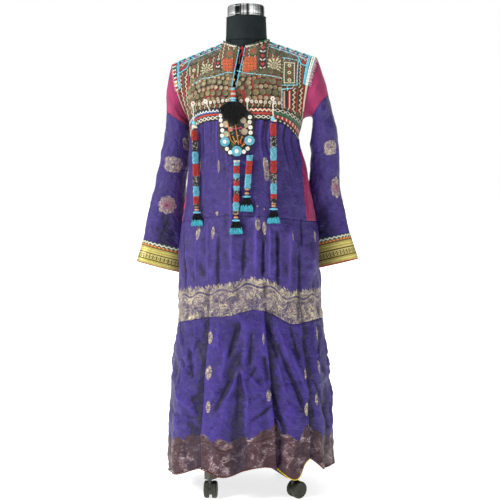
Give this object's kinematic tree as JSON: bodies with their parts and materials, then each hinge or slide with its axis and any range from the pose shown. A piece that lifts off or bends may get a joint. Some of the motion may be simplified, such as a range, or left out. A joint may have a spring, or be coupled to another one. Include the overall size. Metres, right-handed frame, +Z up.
{
  "type": "afghan dress on a castered dress form",
  "caption": "Long gathered dress with an embroidered yoke, coin rows, amulet, bead strands and wide gold cuffs, worn on a limbless dress form with a castered stand.",
  "frame": {"origin": "on the floor, under the middle of the whole part", "axes": "+Z up the form, -Y towards the front of the dress, +X towards the wearer's left"},
  "size_m": [0.6814, 0.3914, 1.447],
  "materials": {
    "silk": "plain woven silk with a soft sheen",
    "magenta": "plain woven cloth",
    "brocade": "woven brocade with metal thread",
    "embroidery": "cotton ground, closely embroidered",
    "braid": "woven and stitched band",
    "piping": "bias-cut piping",
    "black": "black cloth, yarn and matt moulding",
    "turquoise": "small glass beads on thread",
    "red": "small glass beads and cord",
    "coin": "dull worn metal",
    "form": "dark cloth cover, stretched",
    "chrome": "polished",
    "steel": "satin",
    "wheel": "matt"
  },
  "bodies": {
    "dress_on_form": {"amulet_pad": "black", "amulet_stem": "turquoise", "amulet_tuft": "black", "coin_row_1": "coin", "coin_row_2": "coin", "coin_row_3": "coin", "cuff_l": "brocade", "cuff_r": "brocade", "form_torso": "form", "gusset_l": "magenta", "gusset_r": "magenta", "hem_piping": "piping", "hub": "steel", "leg_back_l": "steel", "leg_back_r": "steel", "leg_front_l": "steel", "leg_front_r": "steel", "neck_binding": "turquoise", "neck_cap": "chrome", "neck_tie": "red", "pole": "steel", "rosette_1": "turquoise", "rosette_2": "turquoise", "rosette_3": "turquoise", "skirt_back": "silk", "skirt_front": "silk", "skirt_low_back": "silk", "skirt_low_front": "silk", "skirt_mid_back": "silk", "skirt_mid_front": "silk", "sleeve_head_l": "magenta", "sleeve_head_r": "magenta", "sleeve_low_l": "silk", "sleeve_low_r": "silk", "sleeve_top_l": "silk", "sleeve_top_r": "silk", "strand_1": "red", "strand_2": "red", "strand_3": "red", "strand_4": "red", "tassel_1": "black", "tassel_2": "black", "tassel_3": "black", "tassel_4": "black", "trim_back_l": "turquoise", "trim_back_r": "turquoise", "trim_front_l": "turquoise", "trim_front_r": "turquoise", "waistband": "braid", "yoke_back": "embroidery", "yoke_front": "embroidery"},
    "swivel_front_r": {"caster_front_r": "black"},
    "swivel_front_l": {"caster_front_l": "black"},
    "swivel_back_l": {"caster_back_l": "black"},
    "swivel_back_r": {"caster_back_r": "black"},
    "wheelset_front_r": {"wheels_front_r": "wheel"},
    "wheelset_front_l": {"wheels_front_l": "wheel"},
    "wheelset_back_l": {"wheels_back_l": "wheel"},
    "wheelset_back_r": {"wheels_back_r": "wheel"}
  },
  "joints": [
    {"name": "caster_front_r_swivel", "type": "hinge", "parent": "dress_on_form", "child": "swivel_front_r", "pos_m": [-0.08316, -0.14089, 0.06], "axis": [0, 0, 1], "continuous": true},
    {"name": "caster_front_l_swivel", "type": "hinge", "parent": "dress_on_form", "child": "swivel_front_l", "pos_m": [0.15639, -0.09866, 0.06], "axis": [0, 0, 1], "continuous": true},
    {"name": "caster_back_l_swivel", "type": "hinge", "parent": "dress_on_form", "child": "swivel_back_l", "pos_m": [0.11416, 0.14089, 0.06], "axis": [0, 0, 1], "continuous": true},
    {"name": "caster_back_r_swivel", "type": "hinge", "parent": "dress_on_form", "child": "swivel_back_r", "pos_m": [-0.12539, 0.09866, 0.06], "axis": [0, 0, 1], "continuous": true},
    {"name": "caster_front_r_roll", "type": "hinge", "parent": "swivel_front_r", "child": "wheelset_front_r", "pos_m": [-0.08438, -0.12695, 0.025], "axis": [-0.9962, -0.0872, 0], "continuous": true},
    {"name": "caster_front_l_roll", "type": "hinge", "parent": "swivel_front_l", "child": "wheelset_front_l", "pos_m": [0.16629, -0.08876, 0.025], "axis": [-0.7071, 0.7071, 0], "continuous": true},
    {"name": "caster_back_l_roll", "type": "hinge", "parent": "swivel_back_l", "child": "wheelset_back_l", "pos_m": [0.101, 0.13611, 0.025], "axis": [0.342, -0.9397, 0], "continuous": true},
    {"name": "caster_back_r_roll", "type": "hinge", "parent": "swivel_back_r", "child": "wheelset_back_r", "pos_m": [-0.11467, 0.08966, 0.025], "axis": [0.6428, 0.766, 0], "continuous": true}
  ]
}
